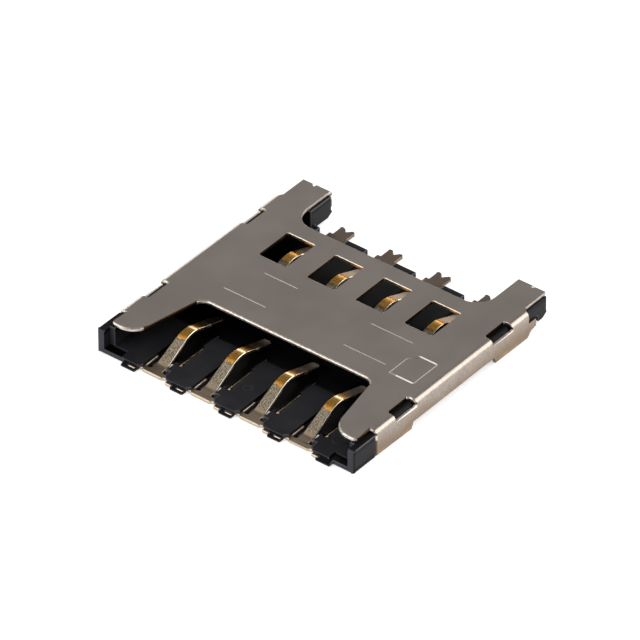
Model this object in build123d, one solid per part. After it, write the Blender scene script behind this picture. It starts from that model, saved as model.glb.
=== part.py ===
from build123d import *
import os

# Card connector for a small chip card, soldered flat on a board.
# Millimetres. X runs across the card, Y into the connector, Z up.
# The origin is the middle of the footprint, on the board.

# Contact rows
pitch = 2.54
contacts_per_row = 4
row_spacing = 6.54
front_crown_in = 2.48
rear_crown_in = 4.36
outer_crown_in = 2.88

# Heights and sheets
height = 1.27
shell_sheet = 0.15
terminal_sheet = 0.15

# Housing
foot_reach = 0.22
foot_width = 0.66
end_foot_width = 0.76
foot_shift = 0.17
foot_height = 0.2
foot_land = 0.06
floor_thickness = 0.27
floor_relief = 0.06
floor_rear_in = 1.3
relief_start_in = 3.35
relief_slope = 0.22
pocket_web = 0.18
web_start = 0.58
slit_fill = 0.1
throat_width = 0.84
throat_start = 0.09
beam_gap = 0.04
mouth_flare = 0.14
bare_rail_length = 1.5
bare_rail_slope = 0.12
bare_rail_end_radius = 0.07
wall_thickness = 0.57
lip_thickness = 0.34
lip_length = 0.45
lip_lead = 0.07
entry_width = 0.95
entry_drop = 0.07
corner_block_length = 1.44
corner_radius = 0.12
wall_seat_gap = 0.01
shell_side_gap = 0.01
side_undercut = 0.14
side_undercut_height = 0.3
post_width = 1.62
post_side_inset = 0.25
post_root = 0.3
post_rear_gap = 0.05
post_chamfer_up = 0.3
post_chamfer_in = 0.3
post_lift = 0.1
post_lip = 0.035
post_lip_height = 0.05
post_notch_start = 0.52
post_notch_width = 0.4
post_notch_radius = 0.18
post_notch_height = 0.46
post_notch_depth = 0.3
key_gap = 0.05
key_drop = 0.14
key_root = 0.1
key_slope = 0.1
rib_undercut = 0.12
tail_slot_width = 1.48
tail_slot_depth = 0.33

# Shell
fold_radius = 0.265
flat_edge_inset = 0.32
wall_front_in = 1.48
wall_rear_in = 1.7
tongue_tip_in = 0.56
tongue_root_in = 4.1
tongue_tip_width = 1.23
tongue_root_width = 1.91
tongue_inner_radius = 0.95
tongue_outer_radius = 0.15
cut_root_radius = 0.5
rear_cut_in = 2.67
arm_width = 1.42
arm_root_radius = 0.95
arm_end_in = 0.14
window_width = 1.45
window_depth = 1.95
window_ahead = 1.08
window_radius = 0.07
fold_cut_inset = 0.46
fold_cut_length = 1.33
fold_cut_front_in = 2.78
fold_cut_rear_in = 4.13
fold_cut_drop = 0.3
fold_cut_radius = 0.12
fold_end_run = 0.2
front_tab_length = 2.34
rear_tab_length = 2.15
rear_tab_end_in = 1.79
tab_step_slope = 0.12
wall_raise = 0.3
spur_reach = 0.48
spur_low = 0.33
spur_high = 0.7
spur_slope = 0.24
spur_slope_end = 0.25
flap_width = 0.74
flap_bend_radius = 0.2
flap_bottom = 0.42
relief_width = 0.14
relief_depth = 0.12

# Pressed marks on the shell: card direction sign and four guide lines
mark_width = 0.05
mark_slope = 45
mark_depth_share = 0.4
guide_length = 2.22
guide_side_in = 3.55
broken_guide_length = 1.78
broken_guide_side_in = 4.02
broken_guide_dot_in = 2.48
guide_front_in = 1.15
guide_rear_in = 0.87
sign_width = 1.28
sign_length = 1.66
sign_corner = 0.45
sign_side_in = 1.4
sign_front_in = 0.8
sign_bar_length = 0.95
sign_bar_width = 0.1

# Terminals
slot_width = 1.2
rail_width = 0.4
beam_root_width = 0.57
beam_crown_width = 0.45
beam_tip_chamfer = 0.11
crown_height = 0.93
crown_radius = 1.25
root_bend_radius = 0.5
beam_rise = 27.5
front_beam_fall = 17.0
rear_beam_fall = 21.0
rear_beam_shift = 0.09
tip_height = 0.3
bridge_length = 0.47
slit_radius = 0.11
slit_lead = 0.25
rail_show = 0.06
front_plate_width = 1.16
front_plate_inset = 0.02
front_plate_chamfer = 0.09
stub_width = 0.34
stub_side = 0.96
stub_reach = 0.14
front_rail_end_in = 3.3
slot_tip_gap = 0.24
rear_rail_end_in = 1.66
rear_bridge_length = 0.34
tail_shift = 0.11
tail_width = 0.74
tail_lug_width = 1.08
tail_lug_in = 1.18
tail_end_in = 0.58
tail_valley = 0.2
tail_prong = 0.2

# How far a cut runs past the part
beyond = 1.0

# Worked out from the sizes above
width = (contacts_per_row - 1) * pitch + 2 * outer_crown_in
depth = foot_reach + front_crown_in + row_spacing + rear_crown_in
half = width / 2
front = -depth / 2 + foot_reach
rear = depth / 2
centres = [(index - (contacts_per_row - 1) / 2) * pitch for index in range(contacts_per_row)]
crown_rows = (front + front_crown_in, rear - rear_crown_in)

shell_under = height - shell_sheet
shell_inner = half - shell_sheet
flat_edge = half - flat_edge_inset
wall_front = front + wall_front_in
wall_rear = rear - wall_rear_in
tongue_root = front + tongue_root_in
arm_inner = flat_edge - arm_width
arm_end = rear - arm_end_in
fold_cut_edge = half - fold_cut_inset
fold_cut_low = height - fold_cut_drop
fold_cut_starts = (front + fold_cut_front_in, rear - fold_cut_rear_in)
window_front = crown_rows[1] - window_ahead

wall_top = shell_under - wall_seat_gap
wall_outer = shell_inner - shell_side_gap
card_half = half - wall_thickness
lip_inner = half - lip_thickness
floor_half = wall_outer - side_undercut
floor_rear = rear - floor_rear_in
rib_outer = lip_inner - entry_width
terminal_half = slot_width / 2 + rail_width

past_side = half + beyond
past_front = front - beyond
past_rear = rear + beyond
below = -beyond
above = height + beyond


def slab(x0, x1, y0, y1, z0, z1):
    """A right block between two corners."""
    return Pos((x0 + x1) / 2, (y0 + y1) / 2, (z0 + z1) / 2) * Box(x1 - x0, y1 - y0, z1 - z0)


def both_sides(shape):
    """A shape and its mirror image across the middle of the connector."""
    return shape + mirror(shape, about=Plane.YZ)


def along_x(points, x0, x1):
    """A prism from x0 to x1 whose section is given as (y, z) points."""
    outline = make_face(Polyline(*[(x0, y, z) for y, z in points], close=True))
    return extrude(outline, amount=x1 - x0, dir=(1, 0, 0))


def plan_plate(sketch, z0, z1):
    """A plan outline made solid between two heights."""
    return extrude(Pos(0, 0, z0) * sketch, amount=z1 - z0, dir=(0, 0, 1))


def beam_centre_line(crown_y, beam_fall):
    """Middle line of a spring beam: flat root, ramp, round crown and falling tip.

    Returns the line and the point where the root starts to bend.
    """
    middle = terminal_sheet / 2
    ramp = Vector(1, 0).rotate(Axis.Z, beam_rise)
    fall = Vector(1, 0).rotate(Axis.Z, -beam_fall)
    bend_rise = (root_bend_radius + crown_radius) * (1 - ramp.X)
    ramp_length = (crown_height - middle - middle - bend_rise) / ramp.Y
    root_y = crown_y - (root_bend_radius + crown_radius) * ramp.Y - ramp_length * ramp.X
    fall_drop = crown_height - middle - tip_height - crown_radius * (1 - fall.X)
    fall_length = fall_drop / -fall.Y
    flat = Line((root_y - bridge_length / 2, middle), (root_y, middle))
    bend = JernArc(flat @ 1, (1, 0), root_bend_radius, beam_rise)
    slope = Line(bend @ 1, bend @ 1 + ramp * ramp_length)
    crown = JernArc(slope @ 1, ramp, crown_radius, -beam_rise - beam_fall)
    tip = Line(crown @ 1, crown @ 1 + fall * fall_length)
    return Plane.YZ * Wire([flat, bend, slope, crown, tip]), root_y, (tip @ 1).X


def spring_beam(centre, crown_y, beam_fall):
    """A sprung beam, bent from the sheet and narrowing to its tip."""
    line, root_y, tip_y = beam_centre_line(crown_y, beam_fall)
    start = Plane(origin=line @ 0, x_dir=(1, 0, 0), z_dir=line % 0)
    band = sweep(start * Rectangle(beam_root_width, terminal_sheet), path=line)
    taper = make_face(
        Polyline(
            (-beam_root_width / 2, root_y - bridge_length),
            (beam_root_width / 2, root_y - bridge_length),
            (beam_root_width / 2, root_y),
            (beam_crown_width / 2, crown_y),
            (beam_crown_width / 2, tip_y),
            (-beam_crown_width / 2, tip_y),
            (-beam_crown_width / 2, crown_y),
            (-beam_root_width / 2, root_y),
            close=True,
        )
    )
    taper = chamfer(taper.vertices().sort_by(Axis.Y)[-2:], beam_tip_chamfer)
    beam = band & plan_plate(taper, 0, height)
    return Pos(centre, 0, 0) * beam, root_y, tip_y


def rails_plan(root_y, rail_end):
    """Bridge and two side rails of a terminal, with round-ended slits beside the beam root."""
    bridge_front = root_y - bridge_length
    slit_front = root_y - slit_lead
    slit_width = slot_width / 2 - rail_show - beam_root_width / 2
    slit_x = beam_root_width / 2 + slit_width / 2
    plan = Pos(0, (bridge_front + rail_end) / 2) * Rectangle(2 * terminal_half, rail_end - bridge_front)
    for side in (-1, 1):
        slit = Pos(side * slit_x, (slit_front + rail_end) / 2) * Rectangle(slit_width, rail_end - slit_front)
        plan -= fillet(slit.vertices().sort_by(Axis.Y)[:2], slit_radius)
    return plan - Pos(0, (root_y + rail_end) / 2) * Rectangle(beam_root_width, rail_end - root_y)


def front_terminal_plan(root_y):
    """Flat part of a front terminal: solder plate, cut-off stubs, bridge and rails."""
    plan = rails_plan(root_y, front + front_rail_end_in)
    bridge_middle = root_y - (bridge_length + slit_lead) / 2
    plate_front = front + front_plate_inset
    plate = Rectangle(front_plate_width, bridge_middle - plate_front)
    plate = Pos(0, (plate_front + bridge_middle) / 2) * plate
    plan += chamfer(plate.vertices().sort_by(Axis.Y)[:2], front_plate_chamfer)
    stub_front = front - stub_reach
    for side in (-1, 1):
        stub = Rectangle(stub_width, bridge_middle - stub_front)
        plan += Pos(side * stub_side, (stub_front + bridge_middle) / 2) * stub
    return plan


def rear_terminal_plan(root_y):
    """Flat part of a rear terminal: bridge, rails, rear bridge and forked solder tail."""
    rail_end = rear - rear_rail_end_in
    plan = rails_plan(root_y, rail_end)
    bridge = Pos(0, rail_end - rear_bridge_length / 2) * Rectangle(2 * terminal_half, rear_bridge_length)
    lug_rear = rear - tail_lug_in
    tail_rear = rear - tail_end_in
    lug_front = rail_end - rear_bridge_length
    lug = Pos(tail_shift, (lug_front + lug_rear) / 2) * Rectangle(tail_lug_width, lug_rear - lug_front)
    fork = Pos(tail_shift, (lug_front + tail_rear) / 2) * Rectangle(tail_width, tail_rear - lug_front)
    valley = make_face(
        Polyline(
            (tail_shift - tail_width / 2 + tail_prong, tail_rear),
            (tail_shift, tail_rear - tail_valley),
            (tail_shift + tail_width / 2 - tail_prong, tail_rear),
            close=True,
        )
    )
    fork = fillet(fork.vertices().sort_by(Axis.Y)[2:], tail_prong / 2)
    return plan + bridge + lug + (fork - valley)


def terminal(centre, crown_y, beam_fall, plan_of):
    """One stamped terminal: its flat part and the beam bent up out of it."""
    beam, root_y, tip_y = spring_beam(centre, crown_y, beam_fall)
    flat = Pos(centre, 0, 0) * plan_plate(plan_of(root_y), 0, terminal_sheet)
    return flat + beam, flat, root_y, tip_y


def shell_section():
    """Section of the folded sheet across the card: top and two side walls."""
    outer = Rectangle(width, 2 * height)
    outer = fillet(outer.vertices(), fold_radius)
    inner = Rectangle(width - 2 * shell_sheet, 2 * height - 2 * shell_sheet)
    inner = fillet(inner.vertices(), fold_radius - shell_sheet)
    ring = outer - inner
    return ring - Pos(0, -height / 2) * Rectangle(width, height)


def tongue():
    """Plan of one front tongue and the wall behind it, with its free corners rounded."""
    tip = front + tongue_tip_in
    plan = make_face(
        Polyline(
            (flat_edge - tongue_root_width, tongue_root),
            (flat_edge - tongue_tip_width, tip),
            (flat_edge, tip),
            (flat_edge, wall_front),
            (past_side, wall_front),
            (past_side, tongue_root),
            close=True,
        )
    )
    tip_corners = plan.vertices().sort_by(Axis.Y)[:2].sort_by(Axis.X)
    plan = fillet(tip_corners[:1], tongue_inner_radius)
    outer_corner = plan.vertices().sort_by(Axis.Y)[:2].sort_by(Axis.X)[-1:]
    return fillet(outer_corner, tongue_outer_radius)


def front_cut():
    """Plan of what is open in front: the finger cut-out between the two tongues."""
    start = past_front
    plan = Pos(0, (start + tongue_root) / 2) * Rectangle(2 * past_side, tongue_root - start)
    plan -= both_sides(tongue())
    root_corners = [v for v in plan.vertices().group_by(Axis.Y)[-1] if abs(v.X) < flat_edge]
    return fillet(root_corners, cut_root_radius)


def side_wall_trim():
    """What is cut from a side wall, leaving two solder tabs and a spur to the rear."""
    front_tab_end = wall_front + front_tab_length
    rear_tab_end = rear - rear_tab_end_in
    rear_tab_start = rear_tab_end - rear_tab_length
    spur_end = wall_rear + spur_reach
    between_tabs = [
        (front_tab_end, below),
        (front_tab_end, 0),
        (front_tab_end + tab_step_slope, wall_raise),
        (rear_tab_start - tab_step_slope, wall_raise),
        (rear_tab_start, 0),
        (rear_tab_start, below),
    ]
    under_spur = [
        (rear_tab_end, below),
        (rear_tab_end, 0),
        (rear_tab_end + spur_slope, spur_slope_end),
        (spur_end, spur_low),
        (spur_end, below),
    ]
    trim = [along_x(points, flat_edge, past_side) for points in (between_tabs, under_spur)]
    trim.append(slab(flat_edge, past_side, spur_end, past_rear, below, above))
    behind_fold = make_face(
        Polyline(
            (flat_edge, wall_rear + fold_end_run),
            (half - shell_sheet, wall_rear),
            (past_side, wall_rear),
            (past_side, past_rear),
            (flat_edge, past_rear),
            close=True,
        )
    )
    trim.append(plan_plate(behind_fold, spur_high, above))
    return trim[0] + trim[1:]


def fold_cut(y0):
    """Opening in the fold for a locking key of the housing, with round inner corners."""
    opening = slab(fold_cut_edge, past_side, y0, y0 + fold_cut_length, fold_cut_low, above)
    return fillet(opening.edges().filter_by(Axis.Z).sort_by(Axis.X)[:2], fold_cut_radius)


def rear_flap():
    """Flap folded down at the rear of an arm, with its round bend."""
    y0 = rear - 2 * flap_bend_radius
    outer = Pos((y0 + rear) / 2, (flap_bottom + height) / 2) * Rectangle(rear - y0, height - flap_bottom)
    inner = Pos(-shell_sheet, -shell_sheet) * outer
    outer = fillet(outer.vertices().sort_by(Axis((0, 0, 0), (1, 1, 0)))[-1:], flap_bend_radius)
    inner_corner = inner.vertices().sort_by(Axis((0, 0, 0), (1, 1, 0)))[-1:]
    inner = fillet(inner_corner, flap_bend_radius - shell_sheet)
    return Pos(arm_inner, 0, 0) * extrude(Plane.YZ * (outer - inner), amount=flap_width)


def pressed(plan, line_width, slope=mark_slope):
    """Sloping cut from the top of the shell, as deep as suits the width of a pressed line."""
    line_depth = mark_depth_share * line_width
    return extrude(Pos(0, 0, height) * plan, amount=line_depth, dir=(0, 0, -1), taper=slope)


def shell_marks():
    """Pressed grooves: four guide lines, one of them broken, and the card direction sign."""
    front_y = tongue_root + guide_front_in
    rear_y = window_front - guide_rear_in
    guide_x = half - guide_side_in
    guide = SlotOverall(guide_length, mark_width)
    lines = [Pos(x, y) * guide for x, y in ((-guide_x, front_y), (guide_x, front_y), (guide_x, rear_y))]
    lines.append(Pos(broken_guide_side_in - half, rear_y) * SlotOverall(broken_guide_length, mark_width))
    lines.append(Pos(broken_guide_dot_in - half, rear_y) * Circle(mark_width / 2))
    grooves = [pressed(line, mark_width) for line in lines]

    sign = Rectangle(sign_width, sign_length)
    sign = chamfer(sign.vertices().sort_by(Axis.Y)[2:].sort_by(Axis.X)[:1], sign_corner)
    sign_y = tongue_root + sign_front_in + sign_length / 2
    sign = Pos(half - sign_side_in, sign_y) * sign
    inside = offset(sign, -mark_width, kind=Kind.INTERSECTION)
    grooves.append(pressed(sign, mark_width) - pressed(inside, mark_width, -mark_slope))
    bar = SlotOverall(sign_bar_length, sign_bar_width)
    bar_x = half - sign_side_in + (sign_width - sign_bar_length) / 2 - mark_width
    for side in (-1, 1):
        bar_y = sign_y + side * (sign_length - mark_width) / 2
        grooves.append(pressed(Pos(bar_x, bar_y) * bar, sign_bar_width))
    return grooves


def make_shell():
    """Folded sheet cover, one piece."""
    start = front + tongue_tip_in
    section = Plane(origin=(0, arm_end, 0), x_dir=(1, 0, 0), z_dir=(0, -1, 0)) * shell_section()
    shell = extrude(section, amount=arm_end - start, dir=(0, -1, 0))
    rear_cut_start = rear - rear_cut_in
    rear_cut = Pos(0, (rear_cut_start + past_rear) / 2) * Rectangle(2 * arm_inner, past_rear - rear_cut_start)
    rear_cut = fillet(rear_cut.vertices().sort_by(Axis.Y)[:2], arm_root_radius)
    openings = [front_cut(), rear_cut]
    for centre in centres:
        window = Rectangle(window_width, window_depth)
        window = fillet(window.vertices(), window_radius)
        openings.append(Pos(centre, window_front + window_depth / 2) * window)
    shell -= [plan_plate(opening, 0, height) for opening in openings]
    for y0 in fold_cut_starts:
        shell -= both_sides(fold_cut(y0))
    shell -= both_sides(side_wall_trim())
    relief_x = arm_inner + flap_width
    relief = slab(relief_x, relief_x + relief_width, arm_end - relief_depth, past_rear, 0, height)
    shell += both_sides(rear_flap())
    shell -= both_sides(relief)
    return shell - shell_marks()


def under_fold(shape):
    """Rounds the outer top edge of a wall to clear the inside of the fold."""
    space = slab(-wall_outer, wall_outer, past_front, past_rear, below, wall_top)
    top_edges = space.edges().filter_by(Axis.Y).group_by(Axis.Z)[-1]
    return shape & fillet(top_edges, fold_radius - shell_sheet)


def fold_key(y0):
    """Locking key on top of a side wall, standing in a cut-out of the fold."""
    key_low = fold_cut_low - key_root
    key_high = height - key_drop
    inner = fold_cut_edge + key_gap
    outline = make_face(
        Polyline(
            (inner, 0, key_low),
            (wall_outer, 0, key_low),
            (wall_outer, 0, key_high - key_slope),
            (wall_outer - key_slope, 0, key_high),
            (inner, 0, key_high),
            close=True,
        )
    )
    length = fold_cut_length - 2 * key_gap
    return Pos(0, y0 + key_gap, 0) * extrude(outline, amount=length, dir=(0, 1, 0))


def front_corner():
    """Front corner block of the housing with its thinner, chamfered lip."""
    lip_rear = front + lip_length
    section = [
        (front, 0),
        (front, wall_top - lip_lead),
        (front + lip_lead, wall_top),
        (lip_rear, wall_top),
        (lip_rear, 0),
    ]
    lip = along_x(section, lip_inner, half)
    lip = fillet(lip.edges().filter_by(Axis.Z).sort_by(Axis.Y)[:2].sort_by(Axis.X)[-1:], corner_radius)
    block = slab(card_half, half, lip_rear, front + corner_block_length, 0, wall_top)
    return lip + block


def rear_post():
    """Rear corner post of the housing, under an arm of the shell."""
    outer = half - post_side_inset
    y0 = wall_rear + key_gap
    y1 = rear - shell_sheet - post_rear_gap
    lip_top = post_chamfer_up + post_lip_height
    section = [
        (floor_rear - post_root, 0),
        (floor_rear, 0),
        (floor_rear, post_lift),
        (y1 - post_chamfer_in, post_lift),
        (y1 + post_lip, post_chamfer_up),
        (y1 + post_lip, lip_top),
        (y1, lip_top),
        (y1, wall_top),
        (floor_rear - post_root, wall_top),
    ]
    post = along_x(section, outer - post_width, outer)
    shoulder = slab(card_half, outer, y0, floor_rear, 0, wall_top)
    notch_y0 = y0 + post_notch_start
    notch_y1 = notch_y0 + post_notch_width
    notch = slab(outer - post_notch_depth, past_side, notch_y0, notch_y1, below, post_notch_height)
    arch = notch.edges().filter_by(Axis.X).sort_by(Axis.Z)[-2:]
    notch = fillet(arch, post_notch_radius)
    return under_fold(post + shoulder) - notch


def rib_feet():
    """Middle of each rib and the two sides of its foot, the two outer feet being wider."""
    feet = []
    for index in range(contacts_per_row + 1):
        outermost = index in (0, contacts_per_row)
        size = end_foot_width if outermost else foot_width
        middle = (index - contacts_per_row / 2) * pitch
        feet.append((middle, middle + foot_shift - size / 2, middle + foot_shift + size / 2))
    return feet


def front_feet():
    """Small feet that stand out in front of the ribs, between the solder plates."""
    reach = front - foot_reach
    section = [(front, 0), (reach, 0), (reach, foot_land), (front, foot_height)]
    return [along_x(section, left, right) for _, left, right in rib_feet()]


def solder_mouth():
    """Plan of a pocket's open front, where the solder plate lies, widened at the ribs' corners."""
    side = slot_width / 2
    end = roots[0] - bridge_length
    right = [
        (side + mouth_flare, past_front),
        (side + mouth_flare, front),
        (side, front + mouth_flare),
        (side, end),
    ]
    left = [(-x, y) for x, y in reversed(right)]
    return make_face(Polyline(*right, *left, close=True))


def beam_pocket(root_y, tip_y):
    """Room for one terminal's beam, about its own middle, above and beside the moulded-in flat part."""
    side = slot_width / 2
    beam_side = beam_root_width / 2 + beam_gap
    throat_y = root_y - throat_start
    web_y = root_y + web_start
    depth_over_rail = floor_thickness - terminal_sheet
    bare_rail = make_face(
        Polyline(
            (side - rail_show, web_y, terminal_sheet),
            (side, web_y, terminal_sheet),
            (side + bare_rail_slope, web_y, floor_thickness),
            (side - rail_show, web_y, floor_thickness),
            close=True,
        )
    )
    bare_end = Cone(bare_rail_end_radius, bare_rail_end_radius + bare_rail_slope, depth_over_rail)
    return [
        slab(-side, side, root_y - bridge_length, throat_y, slit_fill, height),
        slab(-side, throat_width / 2, throat_y, web_y, slit_fill, height),
        slab(-beam_side, beam_side, root_y, web_y, below, height),
        slab(-side, side, web_y, tip_y + slot_tip_gap, pocket_web, height),
        extrude(bare_rail, amount=bare_rail_length, dir=(0, 1, 0)),
        Pos(side, web_y, (terminal_sheet + floor_thickness) / 2) * bare_end,
    ]


def make_housing(flats):
    """Moulded housing, with the terminals' flat parts moulded in flush below."""
    plan = Pos(0, (front + floor_rear) / 2) * Rectangle(2 * floor_half, floor_rear - front)
    housing = plan_plate(plan, 0, floor_thickness)
    wall_y0 = front + corner_block_length
    wall_y1 = wall_rear + key_gap
    wall = under_fold(slab(card_half, wall_outer, wall_y0, wall_y1, 0, wall_top))
    wall -= slab(floor_half, half, past_front, past_rear, below, side_undercut_height)
    wall += [fold_key(y0) for y0 in fold_cut_starts]
    housing += both_sides(wall)
    housing += both_sides(front_corner())
    housing += both_sides(rear_post())
    housing += front_feet()

    # Entry: the floor drops a little beside the outer ribs
    entry = slab(rib_outer, lip_inner, past_front, front + lip_length, floor_thickness - entry_drop, above)
    housing -= both_sides(entry)

    # The floor is relieved behind the ribs, with a sloped end
    relief_y0 = front + relief_start_in
    relief_z = floor_thickness - floor_relief
    housing -= along_x(
        [
            (relief_y0, floor_thickness),
            (relief_y0 + relief_slope, relief_z),
            (floor_rear - relief_slope - tail_slot_depth, relief_z),
            (floor_rear - tail_slot_depth, floor_thickness),
        ],
        -card_half,
        card_half,
    )

    # A pocket under each beam, the front ones open at the solder plates
    mouth = plan_plate(solder_mouth(), below, height)
    for centre in centres:
        housing -= Pos(centre, 0, 0) * mouth
        for (_, _, _, _, shift), root_y, tip_y in zip(rows, roots, tips):
            housing -= [Pos(centre + shift, 0, 0) * room for room in beam_pocket(root_y, tip_y)]
        tail_x = tail_slot_width / 2
        tail_y = floor_rear - tail_slot_depth
        housing -= slab(centre - tail_x, centre + tail_x, tail_y, rear, below, floor_thickness)

    # Ribs are cut back below their front edge, beside the feet
    reach = pitch / 2 - slot_width / 2
    for middle, left, right in rib_feet():
        for x0, x1 in ((middle - reach, left), (right, middle + reach)):
            if max(abs(x0), abs(x1)) < rib_outer:
                housing -= slab(x0, x1, past_front, front + rib_undercut, below, terminal_sheet)

    for flat in flats:
        housing -= flat
    return housing


# Name, crown line, fall of the tip, flat part and sideways shift of each row of terminals
rows = (
    ("front_contact", crown_rows[0], front_beam_fall, front_terminal_plan, 0),
    ("rear_contact", crown_rows[1], rear_beam_fall, rear_terminal_plan, rear_beam_shift),
)
terminals = {}
flats = []
roots = []
tips = []
for row_name, crown_y, beam_fall, plan_of, shift in rows:
    for index, centre in enumerate(centres):
        solid, flat, root_y, tip_y = terminal(centre + shift, crown_y, beam_fall, plan_of)
        terminals[f"{row_name}_{index + 1}"] = solid
        flats.append(flat)
    roots.append(root_y)
    tips.append(tip_y)

parts = {"housing": make_housing(flats), "shell": make_shell(), **terminals}

os.makedirs("parts", exist_ok=True)
for name, shape in parts.items():
    export_step(shape, f"parts/{name}.step")
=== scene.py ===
"""Dresses the card connector: rolled metal cover, moulded body and plated terminals, in a plain studio."""

import math

import bmesh
import bpy
from mathutils import Matrix, Vector


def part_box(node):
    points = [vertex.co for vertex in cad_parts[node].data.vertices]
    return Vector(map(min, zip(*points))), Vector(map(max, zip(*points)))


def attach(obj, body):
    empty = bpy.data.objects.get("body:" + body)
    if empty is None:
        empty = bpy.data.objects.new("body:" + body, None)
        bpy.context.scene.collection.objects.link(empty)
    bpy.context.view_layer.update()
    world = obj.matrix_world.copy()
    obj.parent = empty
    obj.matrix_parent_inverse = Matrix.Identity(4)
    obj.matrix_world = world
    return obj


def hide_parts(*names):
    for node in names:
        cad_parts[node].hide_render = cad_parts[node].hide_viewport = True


MM = 0.001

# Camera, found from the contact pitch in the photograph
VIEW_AZIMUTH = math.radians(38.286)
VIEW_ELEVATION = math.radians(36.974)
VIEW_DISTANCE = 351.8 * MM
VIEW_RIGHT = -0.178 * MM
VIEW_UP = 0.625 * MM
LENS = 480.9
SENSOR = 36.0
CLIP_RANGE = (0.01, 20.0)

# Rounding that the tools leave on edges
ENTRY_ROLL = 0.085 * MM
WINDOW_ROLL = 0.035 * MM
SMALL_ROLL = 0.006 * MM
ROLL_STEPS = 3
SHEET_EDGE = 0.012 * MM
SHEET_EDGE_STEPS = 1
MOULDED_EDGE = 0.045 * MM
MOULDED_EDGE_STEPS = 2
TERMINAL_EDGE = 0.04 * MM
TERMINAL_EDGE_STEPS = 3

# An edge is rounded where the faces beside it are over this many times as wide as the rounding
ROOM_TO_ROUND = 2.2

# Angles and distance below which a mesh counts as smooth, flat or welded
SMOOTH_ANGLE = math.radians(32)
FLAT_ANGLE = math.radians(0.4)
WELD = 0.0004 * MM

# How far a face's normal leans one way, from 0 to 1; an upright face leans up or down by less than its limit
DEAD_LEVEL = 0.9999
LEVEL = 0.99
FACING = 0.9
TURNED = 0.7
LEANING = 0.5
UPRIGHT = 0.3
GROOVE_WALL = (0.6, 0.8)

# Lean toward the card entry over which a cut's rim goes from a small roll to its full one
ROLL_LEAN = (-0.1, 0.7)

# Lean of a beam's upper face past the crown, over which its painted highlight and its darker tip colour come
# or go
HIGHLIGHT_START = (0.04, 0.1)
HIGHLIGHT_END = (0.17, 0.22)
TIP_START = (0.18, 0.4)

# Sizes of the frame's pieces that the finishes follow
SHEET = 0.15 * MM
FOLD = 0.265 * MM
FLAP_BEND = 0.2 * MM
GUIDE_DEPTH = 0.015 * MM
ENTRY_DEPTH = 0.7 * MM
CROWN_HEIGHT = 0.8 * MM

# Places along the card's way in, in millimetres from the part's middle
ENTRY_BACK = -2.2
ARM_START = 4.5
FRONT_CROWN = -4.1
REAR_CROWN = 2.68

# Spans of a noise's value that are stretched to full contrast
SOFT_NOISE = (0.3, 0.7)
SPECKLE_NOISE = (0.35, 0.65)
SCRATCH_NOISE = (0.38, 0.66)
MOTTLE_NOISE = (0.32, 0.68)
DRIFT_SHARE = 0.35

# Colours of the cover; a pair goes from its dullest to its brightest spots
SHEET_TONES = ((0.392, 0.343, 0.305), (0.432, 0.381, 0.342))
# Brown stain down the walls, with painted shade that darkens them toward the board
STAIN_AND_SHADE = (0.25, 0.178, 0.115)
BEND_SPECKLE = (0.22, 0.165, 0.12)
FLOW_LINE = (0.45, 0.27, 0.13)
BURNISHED = ((0.66, 0.58, 0.50), (0.86, 0.79, 0.71))
TORN = ((0.58, 0.29, 0.08), (0.95, 0.58, 0.24))
HANDLED = ((0.40, 0.355, 0.31), (0.66, 0.60, 0.54))
ENTRY_CUT = (0.09, 0.06, 0.04)
WALL_CUT = (0.13, 0.085, 0.055)
# Painted shade that dims the walls of the guide grooves
SHADED_GUIDE_LINE = (0.22, 0.2, 0.18)
# Painted shade on the cover's top cut faces that look to the sides
SHADED_CUT = (0.06, 0.032, 0.014)

# Heights, and a distance off the middle, between which the cover's finishes change, in millimetres
STAIN_AND_SHADE_HEIGHTS = (0.1, 1.2)
STAIN_AND_SHADE_WAVER = (-0.16, 0.16)
FLOW_HEIGHTS = (0.0, 0.2)
BEND_HEIGHTS = (1.1, 1.265)
TOP_CUT_HEIGHTS = (1.0, 1.06)
WINDOW_SHEAR_HEIGHTS = (1.19, 1.22)
ENTRY_SHEAR_HEIGHTS = (1.12, 1.15)
WALL_SHEAR_HEIGHTS = (0.75, 0.85)
INSIDE_FOLDS = (5.0, 5.3)
ZONE_BLEND = 0.1

# Strengths of the cover's finishes at the two ends of their spans, and its roughness and relief
STAIN_AND_SHADE_STRENGTH = (0.9, 0.02)
SPECKLE_STRENGTH = (0.0, 0.45)
FLOW_STRENGTH = (0.7, 0.0)
SHEET_ROUGHNESS = (0.22, 0.27)
STRAINED_ROUGHNESS = 0.12
SHEET_GRAIN = (0.03, 1.0)
SHEET_RELIEF = (0.6, 0.012 * MM)

# Colours of the moulded body
# Painted shade for the pockets, the body under the cover and the keys
SHADED_BLACK = (0.0016, 0.0012, 0.0011)
# The body's own black, shown on open ribs
OPEN_RIB_BLACK = ((0.0085, 0.008, 0.0092), (0.022, 0.021, 0.0245))
# Painted highlight on the rounded edges of the open body
EDGE_HIGHLIGHT_GREY = (0.085, 0.088, 0.1)
# Painted light on the body's faces that look out of the card entry
FRONT_LIT_GREY = (0.05, 0.052, 0.062)

# Where the body lies out from under the cover, in millimetres, and how much of its own black the keys in the
# folds keep; elsewhere it gets painted shade
OPEN_FRONT = (-2.8, -2.2)
OPEN_REAR = (3.9, 4.3)
RIB_HEIGHTS = (0.2, 0.26)
KEY_HEIGHTS = (0.85, 0.95)
KEY_UNSHADED = (1.0, 0.15)

# Sheen, roughness and relief of the body
BODY_SHEEN = 0.08
BODY_ROUGHNESS = (0.27, 0.38)
BODY_RELIEF = (0.25, 0.006 * MM)

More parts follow.
